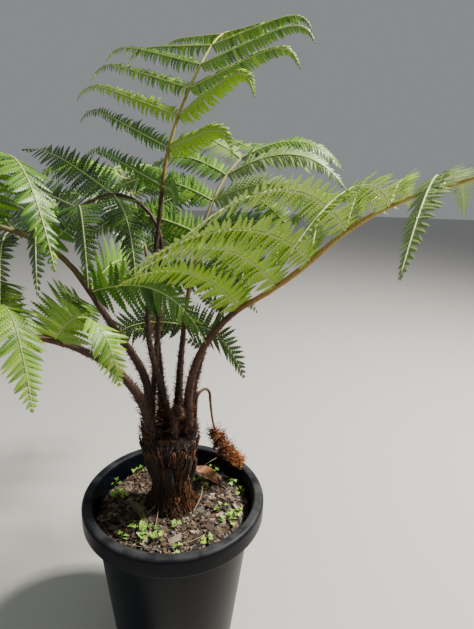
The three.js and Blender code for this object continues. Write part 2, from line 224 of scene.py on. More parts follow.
def moulded_plastic():
    """Black polypropylene: dust lies on what faces up and in blotches down the wall, drier and
    greyer where it lies, over a fine moulded grain. On the rim the grey that faces up is partly
    dust and partly a painted highlight."""
    look = fresh("black pot plastic")
    facing = node(look, "SeparateXYZ", {0: node(look, "NewGeometry", {}).outputs["Normal"]}).outputs[2]
    rim = between(look, height_of(look), (POT_HEIGHT - 10) * MM, (POT_HEIGHT + 4) * MM)
    # What faces up at the rim turns grey: partly dust, partly a painted highlight.
    rim_dust_and_highlight = combined(look, "MULTIPLY", between(look, facing, 0.35, 0.95), rim)
    thinned = between(look, noise(look, 42, 5), 0.3, 0.62, 0.12, 0.75)
    patches = between(look, noise(look, 16, 6), 0.42, 0.70, 0, 0.05)
    streaks = between(look, noise(look, 30, 5, (1, 1, 0.12)), 0.56, 0.78, 0, 0.07)
    dust_and_highlight = combined(look, "ADD", patches, streaks)
    dust_and_highlight = combined(look, "ADD", dust_and_highlight, combined(look, "MULTIPLY", rim_dust_and_highlight, thinned), clamp=True)
    base = blend(look, dust_and_highlight, POT_BLACK, POT_DUST_AND_HIGHLIGHT)
    shine = between(look, dust_and_highlight, 0, 1, 0.34, 0.72)
    return finish(look, base, shine, noise(look, 900, 2), 0.00012, specular_ior_level=0.10)


pot_outline = eased(
    [
        (0, 0),
        (POT_FOOT_RADIUS, 0),
        (POT_NECK_RADIUS, POT_NECK_HEIGHT),
        (LIP_INNER_RADIUS + POT_WALL, POT_HEIGHT - 4),
        (LIP_OUTER_RADIUS - SKIRT_THICKNESS, POT_HEIGHT - 4),
        (LIP_OUTER_RADIUS - SKIRT_THICKNESS, POT_HEIGHT - SKIRT_DEPTH),
        (LIP_OUTER_RADIUS, POT_HEIGHT - SKIRT_DEPTH),
        (LIP_OUTER_RADIUS, POT_HEIGHT - 4),
        (LIP_OUTER_RADIUS - 4, POT_HEIGHT),
        (LIP_INNER_RADIUS + 1, POT_HEIGHT),
        (LIP_INNER_RADIUS - 2, POT_HEIGHT - 5),
        (POT_NECK_RADIUS - POT_WALL, POT_NECK_HEIGHT),
        (POT_FOOT_RADIUS - POT_WALL, POT_WALL),
        (0, POT_WALL),
    ],
    POT_EDGE_RADIUS,
)
pot_points = turned(pot_outline, POT_SIDES)
lean = rough(pot_points * (1, 1, 0.2), 95, 2)[..., None] * pot_points[..., 2:] / POT_HEIGHT
pot_points[..., :2] *= 1 + POT_OUT_OF_ROUND * lean
pot_faces = net(*pot_points.shape[:2])
pot = place("nursery_pot", "pot", pot_points, pot_faces, [moulded_plastic()], join=True)
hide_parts("pot")

# The potting mix. Composted bark, dark and damp, filled to just under the rim and mounded up to
# the trunk, with paler chips of bark and grit washed clean on top.
MIX_EDGE_HEIGHT = 246
MIX_CENTRE_HEIGHT = 258
MIX_FOOT_RADIUS = POT_FOOT_RADIUS - POT_WALL - 0.2
MIX_EDGE_RADIUS = POT_NECK_RADIUS - POT_WALL - 2 * CLEARANCE
MIX_WALL_RINGS = 10
MIX_RINGS = 84
MIX_SIDES = 300
CHIP_TINTS = [
    (0.030, 0.020, 0.014), (0.060, 0.038, 0.026), (0.115, 0.072, 0.048),
    (0.215, 0.150, 0.105), (0.120, 0.112, 0.105), (0.330, 0.265, 0.200),
]


def mix_height(x, y):
    """The mix's top: a mound from the centre's height to the edge's, with lumps of three sizes."""
    r = np.hypot(x, y)
    heights = [MIX_CENTRE_HEIGHT, MIX_CENTRE_HEIGHT - 0.5, MIX_EDGE_HEIGHT + 6, MIX_EDGE_HEIGHT]
    mound = np.interp(r, [0, 52, 96, MIX_EDGE_RADIUS], heights)
    flat = np.stack([x, y, 0 * x], -1)
    return mound + 2.6 * rough(flat, 24, 4) + 1.9 * rough(flat, 9, 5) + 1.0 * rough(flat, 3.6, 6)


def damp_bark():
    """Dark composted bark: near black in the hollows, brown on the lumps, dull all over."""
    look = fresh("damp bark mix")
    clods = between(look, noise(look, 170, 6), 0.36, 0.68)
    base = blend(look, clods, (0.011, 0.008, 0.006), (0.060, 0.040, 0.028))
    specks = between(look, noise(look, 620, 3), 0.62, 0.72)
    base = blend(look, specks, base, (0.135, 0.100, 0.072))
    return finish(look, base, between(look, clods, 0, 1, 0.62, 0.94), noise(look, 480, 5), 0.0012)


ring_share = np.linspace(1, 0, MIX_RINGS)
side_outline = np.array([(0, POT_WALL + CLEARANCE), (MIX_FOOT_RADIUS, POT_WALL + CLEARANCE)])
wall_rise = np.linspace(0, 1, MIX_WALL_RINGS + 2)[1:-1, None]
wall = side_outline[1:] + wall_rise * ((MIX_EDGE_RADIUS, MIX_EDGE_HEIGHT) - side_outline[1:])
top = np.stack([MIX_EDGE_RADIUS * ring_share, MIX_EDGE_HEIGHT + 0 * ring_share], 1)
mix_points = turned(np.vstack([side_outline, wall, top]), MIX_SIDES)
crust = mix_points[-MIX_RINGS:]
crust[..., 2] = mix_height(crust[..., 0], crust[..., 1])
mix_faces = net(*mix_points.shape[:2])
mix = place("potting_mix_surface", "potting_mix", mix_points, mix_faces, [damp_bark()], join=True)
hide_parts("potting_mix")

# The litter on the mix. Chips of bark and grit, seedlings of small weeds with cupped leaves, dry
# straws, a fallen olive blade and a tan leaf, all lying where they fell or sprouted.
CHIP_COUNT = 3400
CHIP_ODDS = [0.20, 0.26, 0.24, 0.15, 0.10, 0.05]
TRUNK_FOOT_X = -4
SEEDLING_GREENS = [(0.20, 0.40, 0.035), (0.32, 0.50, 0.055), (0.115, 0.260, 0.030)]
SEEDLING_ODDS = [0.45, 0.35, 0.20]
SEEDLING_SIDES = 15
SEEDLINGS = [
    # x, y, leaves, spread of the clump
    (-28, -76, 15, 15), (-14, -84, 12, 13), (-52, -64, 9, 12), (-69, -76, 6, 8), (-40, -88, 6, 9),
    (104, -20, 12, 12), (92, -38, 11, 13), (78, -10, 8, 11), (60, -84, 7, 9), (10, -58, 5, 9),
    (-112, 52, 5, 8), (-106, 20, 8, 12), (-90, 8, 6, 10), (100, 62, 8, 11), (110, 40, 6, 9),
    (30, 62, 6, 9), (46, 40, 5, 8), (-46, 104, 7, 10), (-80, 84, 5, 12), (60, 100, 6, 12),
    (20, -104, 5, 10), (-4, 112, 4, 10),
]
STRAWS = [
    # from, to, how high it bows and its thickness
    ((-41, -40, 3), (66, 92, 26), 16, 0.75), ((-22, -64, 2), (-34, 62, 16), 8, 0.6),
    ((34, -27, 2), (45, 30, 12), 6, 0.9), ((-96, 40, 2), (-112, -8, 6), 5, 0.6),
    ((70, 60, 3), (104, -6, 5), 7, 0.6), ((6, -96, 2), (58, -70, 3), 3, 0.7),
    ((-62, -92, 2), (-20, -100, 4), 3, 0.55), ((20, 96, 2), (92, 72, 7), 6, 0.8),
]
STRAW_STEPS = 16
dice = np.random.default_rng(11)


def dealt(odds, count, faces_each, dice):
    """A tint for each of count small things, dealt by those odds, for every face of each."""
    return np.repeat(dice.choice(len(odds), count, p=odds), faces_each)


def unit(v):
    """v at length one."""
    return v / np.linalg.norm(v, axis=-1, keepdims=True)


def turns_of(count, tilt, dice):
    """Three square directions for each of count pieces: turned any way about the upright and
    tipped by up to that many radians."""
    a = dice.uniform(0, 2 * np.pi, count)
    b, c = dice.uniform(-tilt, tilt, (2, count))
    long = np.stack([np.cos(a) * np.cos(b), np.sin(a) * np.cos(b), np.sin(b)], -1)
    side = unit(np.cross(np.stack([0 * a, np.sin(c), np.cos(c)], -1), long))
    return long, side, np.cross(long, side)


def on_the_mix(count, dice, clear=42, edge=MIX_EDGE_RADIUS - 4):
    """Random places on the mix's top, evenly dealt, clear of the trunk's foot."""
    r = np.sqrt(dice.uniform(0, 1, 3 * count)) * edge
    a = dice.uniform(0, 2 * np.pi, 3 * count)
    x, y = r * np.cos(a), r * np.sin(a)
    keep = np.hypot(x - TRUNK_FOOT_X, y) > clear
    return x[keep][:count], y[keep][:count]


def chips(count, dice):
    """Angular chips: the eight corners of a slab, each pushed about at random."""
    x, y = on_the_mix(count, dice)
    size = np.exp(dice.normal(0.72, 0.42, count))[:, None]
    size = size * dice.uniform((1.0, 0.55, 0.22), (1.9, 1.0, 0.5), (count, 3))
    long, side, up = turns_of(count, 0.5, dice)
    corners = np.array(list(itertools.product((-1, 1), repeat=3)), float)
    corners = corners[None] * dice.uniform(0.55, 1.1, (count, 8, 3)) * size[:, None]
    points = sum(corners[..., k, None] * way[:, None] for k, way in enumerate((long, side, up)))
    points += np.stack([x, y, mix_height(x, y) + size[:, 2] * 0.7], -1)[:, None]
    box = np.array([[0, 1, 3], [0, 3, 2], [4, 6, 7], [4, 7, 5], [0, 4, 5], [0, 5, 1],
                    [2, 3, 7], [2, 7, 6], [0, 2, 6], [0, 6, 4], [1, 5, 7], [1, 7, 3]])
    faces = (box[None] + 8 * np.arange(count)[:, None, None]).reshape(-1, 3)
    return points, faces, dealt(CHIP_ODDS, count, len(box), dice)


def tubes(paths, radii, across, sides):
    """Round tubes along paths (n, m, 3) with radii (n, m), closed by a point at each end. Ring i
    is p + r (cos t a + sin t b): a is the tube's own across made square to the path, and b is
    square to both. Returns points, triangles and how far along its path each point lies."""
    way = unit(np.gradient(paths, axis=1))
    a = unit(across[:, None] - way * np.sum(across[:, None] * way, axis=2, keepdims=True))
    b = np.cross(way, a)
    t = np.arange(sides)[:, None] * 2 * np.pi / sides
    ring = np.cos(t) * a[:, :, None] + np.sin(t) * b[:, :, None]
    rings = paths[:, :, None] + radii[:, :, None, None] * ring
    n, m = paths.shape[:2]
    points = np.concatenate([paths[:, :1], rings.reshape(n, m * sides, 3), paths[:, -1:]], axis=1)
    k = np.arange(sides)
    after = (k + 1) % sides
    foot = np.stack([0 * k, 1 + after, 1 + k], 1)
    last = 1 + (m - 1) * sides
    tip = np.stack([0 * k + m * sides + 1, last + k, last + after], 1)
    one = np.vstack([net(m, sides) + 1, foot, tip])
    faces = (one[None] + (m * sides + 2) * np.arange(n)[:, None, None]).reshape(-1, 3)
    share = np.concatenate([[0], np.repeat(np.linspace(0, 1, m), sides), [1]])
    return points.reshape(-1, 3), faces, np.tile(share, n)


def leaves(centres, up, long, size, outline, cup):
    """Small leaves, each a fan from its centre to an outline of (angle, reach). Its rim is lifted
    by cup times the reach squared along the leaf's up direction."""
    side = np.cross(up, long)
    angle, reach = outline
    reach = reach[None, :, None]
    rim = np.cos(angle)[:, None] * reach * long[:, None] + np.sin(angle)[:, None] * reach * side[:, None]
    rim = centres[:, None] + size[:, None, None] * (rim + cup * reach**2 * up[:, None])
    n, m = len(centres), len(angle)
    points = np.concatenate([centres[:, None], rim], axis=1)
    k = np.arange(m)
    fan = np.stack([0 * k, 1 + k, 1 + (k + 1) % m], 1)
    return points.reshape(-1, 3), (fan[None] + (m + 1) * np.arange(n)[:, None, None]).reshape(-1, 3)


def joined(parts):
    """One set of points and triangles out of several, each part a pair of them."""
    shifts = np.cumsum([0] + [len(points) for points, _ in parts[:-1]])
    return np.vstack([p for p, _ in parts]), np.vstack([f + s for (_, f), s in zip(parts, shifts)])


def seedlings(dice):
    """Clumps of seedlings: thin stems lean out of a common foot, and each holds up one leaf of
    three round lobes."""
    spots = np.array([(x, y, spread) for x, y, count, spread in SEEDLINGS for _ in range(count)], float)
    n = len(spots)
    lean = dice.uniform(0.1, 1, n) ** 0.6 * spots[:, 2]
    turn = dice.uniform(0, 2 * np.pi, n)
    x, y = spots[:, 0] + lean * np.cos(turn), spots[:, 1] + lean * np.sin(turn)
    foot = np.stack([0.6 * spots[:, 0] + 0.4 * x, 0.6 * spots[:, 1] + 0.4 * y, 0 * x], -1)
    foot[:, 2] = mix_height(foot[:, 0], foot[:, 1]) - 1
    top = np.stack([x, y, foot[:, 2] + dice.uniform(5, 14, n)], -1)
    t = np.linspace(0, 1, 5)[None, :, None]
    stems = foot[:, None] + (top - foot)[:, None] * np.concatenate([t, t, t**0.6], -1)
    stalks = tubes(stems, np.full((n, 5), 0.35), np.tile([1.0, 0.0, 0.0], (n, 1)), 3)[:2]
    long, _, up = turns_of(n, 0.55, dice)
    angle = np.arange(SEEDLING_SIDES) * 2 * np.pi / SEEDLING_SIDES
    reach = 0.72 + 0.28 * np.cos(3 * angle)
    blades = leaves(top, up, long, dice.uniform(2.6, 5.2, n), (angle, reach), 0.18)
    points, faces = joined([stalks, blades])
    tints = dealt(SEEDLING_ODDS, n, SEEDLING_SIDES, dice)
    return points, faces, np.concatenate([np.full(len(stalks[1]), 2), tints])


def straws():
    """Dry straws and twiglets lying on the mix: each is a thin tube bent to an arc."""
    t = np.linspace(0, 1, STRAW_STEPS)[:, None]
    paths = []
    for start, end, bow, _ in STRAWS:
        path = np.array(start) + t * (np.array(end, float) - start)
        path[:, :2] += 5 * np.sin(np.pi * t) * (1, -1)
        path[:, 2] = mix_height(path[0, 0], path[0, 1]) + path[:, 2] + bow * np.sin(np.pi * t[:, 0])
        paths.append(path)
    radii = np.array([[w] * STRAW_STEPS for *_, w in STRAWS]) * (1 - 0.5 * t[:, 0])
    return tubes(np.array(paths), radii, np.tile([0.0, 0.0, 1.0], (len(STRAWS), 1)), 5)[:2]


def fallen_leaf(start, end, half, arch, cup, rows=22, columns=7):
    """A fallen blade from start to end: its half width is half sin(pi s)^0.7, it arches up by
    arch sin(pi s) and its sides lift by cup times the square of the distance from its rib."""
    s, c = np.linspace(0, 1, rows)[:, None], np.linspace(-1, 1, columns)[None]
    way = np.subtract(end, start) / np.linalg.norm(np.subtract(end, start))
    side = np.cross([0, 0, 1], way)
    width = half * np.sin(np.pi * np.clip(s, 0.015, 0.985)) ** 0.7
    points = start + s[..., None] * np.subtract(end, start) + (width * c)[..., None] * side
    points[..., 2] += (arch + cup * c**2) * np.sin(np.pi * s) + 0.8 * rough(points, 9, 8)
    a = (np.arange(rows - 1)[:, None] * columns + np.arange(columns - 1)).reshape(-1, 1)
    return points.reshape(-1, 3), np.vstack([a + [0, 1, columns + 1], a + [0, columns + 1, columns]])


def dry_leaf(name, low, high):
    """A dry leaf: two browns in blotches, with fine veins raised a little."""
    look = fresh(name)
    base = blend(look, between(look, noise(look, 90, 5), 0.35, 0.68), low, high)
    return finish(look, base, 0.7, noise(look, 500, 4), 0.0004)


points, faces, tints = chips(CHIP_COUNT, dice)
place("bark_chips", "potting_mix", points, faces, plain("bark chip", CHIP_TINTS, 0.86), tints, smooth=False)
points, faces, tints = seedlings(dice)
place("seedlings", "leaf", points, faces, plain("seedling green", SEEDLING_GREENS, 0.5), tints)
place("straws", "potting_mix", *straws(), [finish(fresh("dry straw"), (0.34, 0.27, 0.17), 0.7)])
place("fallen_tan_leaf", "withered_leaf", *fallen_leaf((22, 92, 262), (72, 50, 259), 13, 7, 5),
      [dry_leaf("tan fallen leaf", (0.24, 0.095, 0.04), (0.46, 0.23, 0.12))])
place("fallen_olive_blade", "withered_leaf", *fallen_leaf((-78, -4, 262), (-34, -60, 260), 6, 5, 3),
      [dry_leaf("olive fallen blade", (0.075, 0.082, 0.028), (0.14, 0.13, 0.05))])

# The trunk. A short fibrous stump of matted roots round old stalk bases, near black, with rusty
# hair in the crown and at the foot. It flares into the mix and swells to carry the fronds.
TRUNK_X = -8
TRUNK_LEAN = -4
TRUNK_WAIST_RADIUS = 27
CROWN_RADIUS = 47
CROWN_HEIGHT = 398
TRUNK_KNOTS = [(258.3, 40), (272, 33), (296, 28), (324, 30), (358, 38), (386, 47), (398, 45)]
SHOULDER_HEIGHT = 362
TRUNK_ROWS = 150
TRUNK_COLUMNS = 190
CROWN_ROWS = 30
STUB_COUNT = 11
STUB_LOWEST = 280
STUB_HIGHEST = 324
STUB_LENGTH = 62
STUB_RADIUS = 8.5
GOLDEN_TURN = np.radians(137.5)
FIBRE_COUNT = 620
FIBRE_ODDS = [
    # of each tint: on the trunk's side towards the light the rusty tints paint light, on the other side the
    # dark ones paint shade
    (0.15, 0.25, 0.35, 0.25), (0.60, 0.28, 0.10, 0.02),
]
HAIR_TINTS = [(0.011, 0.006, 0.004), (0.033, 0.013, 0.006), (0.100, 0.034, 0.011), (0.24, 0.090, 0.028)]


def level(a):
    """The level direction at that angle: (cos a, sin a, 0)."""
    return np.stack([np.cos(a), np.sin(a), 0 * a], -1)


def trunk_radius(z):
    """The trunk's radius at that height, straight between its knots."""
    return np.interp(z, *np.array(TRUNK_KNOTS, float).T)


def trunk_axis(z):
    """The trunk's middle line: it leans evenly from its foot to its crown."""
    share = (z - MIX_CENTRE_HEIGHT) / (CROWN_HEIGHT - MIX_CENTRE_HEIGHT)
    return np.stack([TRUNK_X - TRUNK_LEAN + TRUNK_LEAN * share, 0 * z, z], -1)


def trunk_skin(rows, columns):
    """The trunk's side and crown: its radius follows the knots, drawn in at the shoulder and ridged
    by roughness drawn out up the trunk, and the crown closes over it as a low shaggy dome."""
    z = np.linspace(TRUNK_KNOTS[0][0], CROWN_HEIGHT, rows)
    shoulder = np.clip((z - SHOULDER_HEIGHT) / (CROWN_HEIGHT - SHOULDER_HEIGHT), 0, 1)
    r = trunk_radius(z) * (1 - 0.20 * shoulder**2)
    cap = np.linspace(1, 0, CROWN_ROWS)[1:]
    z = np.concatenate([z, CROWN_HEIGHT + 2 * (1 - cap**2)])
    r = np.concatenate([r, r[-1] * cap])
    out = level(np.arange(columns) * 2 * np.pi / columns)
    points = trunk_axis(z)[:, None] + r[:, None, None] * out[None]
    drawn = points * (1, 1, 0.14)
    relief = 2.4 * rough(drawn, 8.5, 1) + 1.6 * rough(drawn, 3.6, 2) + 2.6 * rough(points, 26, 3)
    relief += 0.8 * rough(points * (1, 1, 0.35), 1.9, 7)
    side = np.clip((CROWN_HEIGHT + 4 - z) / 10, 0, 1)[:, None]
    points += (relief * side)[..., None] * out[None] * np.minimum(r / 20, 1)[:, None, None]
    points[..., 2] += (1 - side) * (2.2 * rough(points, 5, 9) - 1.5)
    floor = np.tile(trunk_axis(z[:1])[:, None], (1, columns, 1))
    points[0, :, 2] = z[0]
    return np.concatenate([floor, points])


def triple_blades(points):
    """Narrow blades of three triangles, each on five points: two at its foot, two at its middle
    and its tip."""
    one = np.array([[0, 1, 3], [0, 3, 2], [2, 3, 4]])
    return points.reshape(-1, 3), (one[None] + 5 * np.arange(len(points))[:, None, None]).reshape(-1, 3)


def bristles(feet, ways, lengths, widths, bend, dice):
    """Hairs and scales: each is a narrow blade, wide at its foot and pointed at its tip, that
    bends by bend times its length away from its way at the tip."""
    n = len(feet)
    side = unit(np.cross(ways, dice.normal(size=(n, 3))))
    sag = np.cross(side, ways)
    half = widths[:, None] * side / 2
    middle = feet + (0.55 * lengths)[:, None] * ways + (0.3 * bend * lengths)[:, None] * sag
    tip = feet + lengths[:, None] * ways + (bend * lengths)[:, None] * sag
    narrow = 0.7 * half
    return triple_blades(np.stack([feet - half, feet + half, middle - narrow, middle + narrow, tip], 1))


def root_fibres(count, dice):
    """Strands of root that run down the trunk's side, wandering as they go, and splay a little
    over the mix at the foot."""
    a = dice.uniform(0, 2 * np.pi, count)
    high, low = dice.uniform(285, 394, count), dice.uniform(258, 262, count)
    low = np.where(dice.uniform(size=count) < 0.45, low, high - dice.uniform(25, 70, count)).clip(259)
    t = np.linspace(0, 1, 11)[None]
    z = high[:, None] + (low - high)[:, None] * t
    turn = a[:, None] + dice.normal(0, 0.16, (count, 1)) * np.sin(3 * t + a[:, None])
    turn = turn + 0.04 * np.sin(17 * t + high[:, None])
    r = trunk_radius(z) + dice.uniform(0.4, 3.6, (count, 1))
    r += 9 * np.clip((268 - z) / 10, 0, 1) ** 2 * dice.uniform(0, 1, (count, 1))
    paths = trunk_axis(z) + r[..., None] * level(turn)
    radii = dice.uniform(0.45, 1.25, (count, 1)) * (1.05 - 0.6 * t)
    return *tubes(paths, radii, np.cross((0, 0, 1), level(a)), 4)[:2], a


def old_stubs():
    """The broken bases of old fronds: each rises steeply off the waist and leans outward,
    stepped round the trunk by the golden turn."""
    k = np.arange(STUB_COUNT)
    t = k * GOLDEN_TURN
    z = STUB_LOWEST + (STUB_HIGHEST - STUB_LOWEST) * (k + 0.5) / STUB_COUNT
    out = level(t)
    foot = trunk_axis(z) + (TRUNK_WAIST_RADIUS - 8) * out
    top = trunk_axis(z + STUB_LENGTH) + (TRUNK_WAIST_RADIUS + 13) * out
    s = np.linspace(0, 1, 22)[None, :, None]
    paths = foot[:, None] + s * (top - foot)[:, None] + 2 * np.sin(np.pi * s) * out[:, None]
    radii = STUB_RADIUS * (1 - 0.4 * s[..., 0] ** 2) * np.ones((STUB_COUNT, 1))
    points, faces, share = tubes(paths, radii, np.cross((0, 0, 1), out), 16)
    bumps = 0.9 * rough(points * (1, 1, 0.2), 2.6, 12) + 0.7 * rough(points, 6, 13)
    points += bumps[:, None] * np.repeat(out, len(points) // STUB_COUNT, axis=0)
    points[:, 2] += (share > 0.9) * 3.5 * rough(points, 3.4, 14)
    return points, faces


def fibrous_bark():
    """Matted root fibre: near black, with rusty brown strands drawn out up the trunk."""
    look = fresh("fibrous trunk")
    strands = between(look, noise(look, 210, 6, (1, 1, 0.13)), 0.40, 0.66)
    base = blend(look, strands, (0.0050, 0.0036, 0.0030), (0.027, 0.0130, 0.0078))
    rust = between(look, noise(look, 34, 4), 0.56, 0.74, 0, 0.45)
    base = blend(look, rust, base, (0.085, 0.030, 0.012))
    return finish(look, base, 0.9, noise(look, 520, 6, (1, 1, 0.25)), 0.0011)


skin = trunk_skin(TRUNK_ROWS, TRUNK_COLUMNS)
bark = fibrous_bark()
trunk = place("trunk_stump", "trunk", skin, net(*skin.shape[:2]), [bark], join=True)
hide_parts("trunk")
place("old_stalk_bases", "trunk", *old_stubs(), [bark])
hair_looks = plain("fern hair", HAIR_TINTS, 0.62)
points, faces, fibre_turn = root_fibres(FIBRE_COUNT, dice)
# Fibres on the trunk's right front, towards the key light, take the rusty tints as painted light; the others
# take the dark tints as painted shade.
painted_lit_side = np.repeat(np.cos(fibre_turn + 0.5) > 0.35, len(faces) // FIBRE_COUNT)
tints = [dealt(odds, FIBRE_COUNT, len(faces) // FIBRE_COUNT, dice) for odds in FIBRE_ODDS]
place("root_fibres", "trunk", points, faces, hair_looks, np.where(painted_lit_side, *tints))

# Hair on the trunk and its crown. Narrow rusty scales stand thick between the stalks and shag
# down over the old bases; they are loose blades rooted in the fibre.
CROWN_HAIRS = 1500
SIDE_HAIRS = 1700
HAIR_COUNT = CROWN_HAIRS + SIDE_HAIRS
HAIR_ODDS = [0.34, 0.34, 0.22, 0.10]
BRISTLE_FACES = 3
spot = np.sqrt(dice.uniform(0, 1, CROWN_HAIRS)) * CROWN_RADIUS * 0.98
out = level(dice.uniform(0, 2 * np.pi, CROWN_HAIRS))
crown_feet = spot[:, None] * out + (TRUNK_X, 0, CROWN_HEIGHT - 2)
crown_ways = (0.9 * spot / CROWN_RADIUS)[:, None] * out + (0, 0, 1)
crown_ways += 0.35 * dice.normal(size=(CROWN_HAIRS, 3))
z = dice.uniform(268, 397, SIDE_HAIRS)
out = level(dice.uniform(0, 2 * np.pi, SIDE_HAIRS))
side_feet = trunk_axis(z) + (trunk_radius(z) - 1)[:, None] * out
side_ways = out + dice.uniform(-1.4, 0.9, (SIDE_HAIRS, 1)) * (0, 0, 1)
side_ways += 0.4 * dice.normal(size=(SIDE_HAIRS, 3))
points, faces = bristles(np.vstack([crown_feet, side_feet]), unit(np.vstack([crown_ways, side_ways])),
                         dice.uniform(4, 11, HAIR_COUNT), dice.uniform(0.5, 1.3, HAIR_COUNT), 0.35, dice)
place("trunk_hair", "trunk", points, faces, hair_looks, dealt(HAIR_ODDS, HAIR_COUNT, BRISTLE_FACES, dice))

# The frond rule. Each frond is one stalk that climbs from the crown and arches over, bare below
# and carrying pairs of pinnae above. The same rule, with the same numbers, shapes the solids.
STALK_RADIUS = 10.5
RIB_RADIUS = 5.2
RIB_TIP_RADIUS = 1.5
PATH_STEPS = 48
PINNA_STEPS = 24
PINNA_TILT = np.radians(11)
ROOT_DEPTH = 0.5
SHARES = (1, 0.8, 0.6, 0.42)
LEFT_OFF_SHARE = 0.3
TIP_NEAR = 2
GREENS = [
    # from deepest shade to full light, then the silvery underside and the backlit green
    (0.006, 0.022, 0.004), (0.013, 0.046, 0.006), (0.031, 0.098, 0.008), (0.078, 0.200, 0.011),
    (0.180, 0.355, 0.020), (0.370, 0.560, 0.055), (0.240, 0.350, 0.110), (0.290, 0.490, 0.008),
]
FRONDS = [
    # Angles are in degrees. The last five say how many lobes a side of a leaflet has, how far
    # apart the leaflets stand, how broad they are as a share of that, how many radians they curl,
    # and the greens from the frond's foot to its tip, which paint the light and shade on the frond.
    dict(name="a", length=742, foot=(60, 6), azimuth=38, turn=33, rise=(102, 106, 77, 82, 58, 43, -3),
         girth=0.55, bare=0.52, pairs=8, pinna=240, width=25, lift=(35, -8), droop=2.6, late=9,
         sweep=(-7, 8), roll=5, left=dict(lift=(15, 0), droop=1.7, late=8, sweep=(18, 8)),
         lobes=6, spacing=5.0, breadth=0.64, curl=1.6, greens=(3, 7, 4, 5, 4, 5)),
    dict(name="c", length=780, foot=(232, 36), azimuth=208, turn=2, rise=(87, 49, 17, -3, -18, -31, -43),
         girth=0.85, bare=0.30, pairs=9, pinna=260, width=46, lift=(65, 9), droop=4.2, late=1.8,
         sweep=(-1, 19), lobes=11, spacing=7.2, breadth=0.66, curl=0.30, greens=(4, 5, 5, 5, 5)),
    dict(name="b", length=790, foot=(-18, 36), azimuth=-25, turn=-6, rise=(100, 68, 34, 47, 20, 22, -8),
         girth=0.80, bare=0.31, pairs=10, pinna=300, width=30, lift=(52, -7), droop=1.06, late=0.85,
         sweep=(28, 0), lobes=8, spacing=6.6, breadth=0.64, curl=0.35, greens=(7, 7, 5, 6, 6, 6)),
    dict(name="d", length=867, foot=(156, 36), azimuth=168, turn=-8, rise=(96, 95, 93, -23, -27, -22, -22),
         girth=0.50, bare=0.47, pairs=8, pinna=313, width=36, lift=(27, 46), droop=0.6, late=2.6,
         sweep=(75, 16), left=dict(lift=(-8, 7), droop=2.3, late=3.4, sweep=(-37, -32)),
         lobes=7, spacing=7.0, breadth=0.58, curl=0.50, greens=(2, 2, 1, 2, 3)),
    dict(name="h", length=820, foot=(194, 36), azimuth=205, turn=8.5, rise=(105, 60, 62, 10, -8, -22, -34),
         girth=0.80, bare=0.31, pairs=8, pinna=312, width=42, lift=(54, 8), droop=2.2, late=1.6,
         sweep=(20, 24), left=dict(lift=(57, 12), droop=2.35, late=1.74, sweep=(-5.6, 20)),
         lobes=9, spacing=7.2, breadth=0.66, curl=0.35, greens=(3, 3, 2, 3, 4)),
    dict(name="e", length=840, foot=(76, 36), azimuth=76, turn=-16, rise=(84, 76, 60, 38, 15, -5, -25),
         girth=0.75, bare=0.19, pairs=10, pinna=255, width=38, lift=(34, 8), droop=1.6, late=1.8,
         sweep=(6, 30), lobes=7, spacing=7.0, breadth=0.64, curl=0.40, greens=(2, 3, 6, 3, 4)),
    dict(name="f", length=800, foot=(116, 36), azimuth=110, turn=8, rise=(82, 68, 52, 34, 13, -8, -28),
         girth=0.75, bare=0.19, pairs=10, pinna=250, width=36, lift=(34, 8), droop=1.8, late=1.8,
         sweep=(6, 30), lobes=7, spacing=7.0, breadth=0.64, curl=0.40, greens=(2, 1, 3, 2)),
    dict(name="i", length=660, foot=(30, 36), azimuth=36, turn=8, rise=(88, 70, 56, 40, 18, -4, -24),
         girth=0.65, bare=0.20, pairs=9, pinna=200, width=33, lift=(42, 14), droop=1.0, late=1.8,
         sweep=(6, 28), lobes=7, spacing=6.6, breadth=0.64, curl=0.40, greens=(2, 3, 4, 3)),
    dict(name="dead", length=283, foot=(7, 41), azimuth=52, turn=-12, rise=(84, 89, -85, -79, -55, -47, -44),
         girth=0.33, bare=0.60, pairs=6, pinna=46, width=8, lift=(10, -20), droop=3, late=0.7,
         sweep=(10, 30), lobes=2, spacing=1.7, breadth=0.60, curl=2.2, greens=(0, 1, 2)),
]


def way(azimuth, elevation):
    """The direction at that azimuth and elevation, in radians."""
    return np.stack([np.cos(elevation) * np.cos(azimuth), np.cos(elevation) * np.sin(azimuth),
                     np.sin(elevation)], -1)


def tilted(a, b, angle):
    """Two square directions turned from a towards b: a cos + b sin and b cos - a sin."""
    return a * np.cos(angle) + b * np.sin(angle), b * np.cos(angle) - a * np.sin(angle)


def course(f):
    """The stalk's points: equal steps from the crown whose elevation follows the rise knots and
    whose azimuth turns evenly."""
    angle, radius = np.radians(f["foot"][0]), f["foot"][1]
    u = (np.arange(PATH_STEPS) + 0.5) / PATH_STEPS
    elevation = np.radians(np.interp(u, np.linspace(0, 1, len(f["rise"])), f["rise"]))
    steps = way(np.radians(f["azimuth"] + f["turn"] * u), elevation) * f["length"] / PATH_STEPS
    start = level(angle) * radius + (TRUNK_X, 0, CROWN_HEIGHT + CLEARANCE)
    return np.vstack([start, start + np.cumsum(steps, axis=0)])


def at(points, u):
    """Points at share u along a course, between its own points."""
    share = np.linspace(0, 1, len(points))
    return np.stack([np.interp(u, share, points[:, k]) for k in range(points.shape[1])], -1)


def heading(points, u):
    """The course's direction at share u, from a hundredth before it to a hundredth after."""
    return unit(at(points, np.minimum(u + 0.01, 1)) - at(points, np.maximum(u - 0.01, 0)))


def spread(a, b):
    """The repeatable number in -1 to 1 for a pair of whole numbers."""
    s = np.sin(a * 12.9898 + b * 78.233) * 437.585453
    return 2 * (s - np.floor(s)) - 1


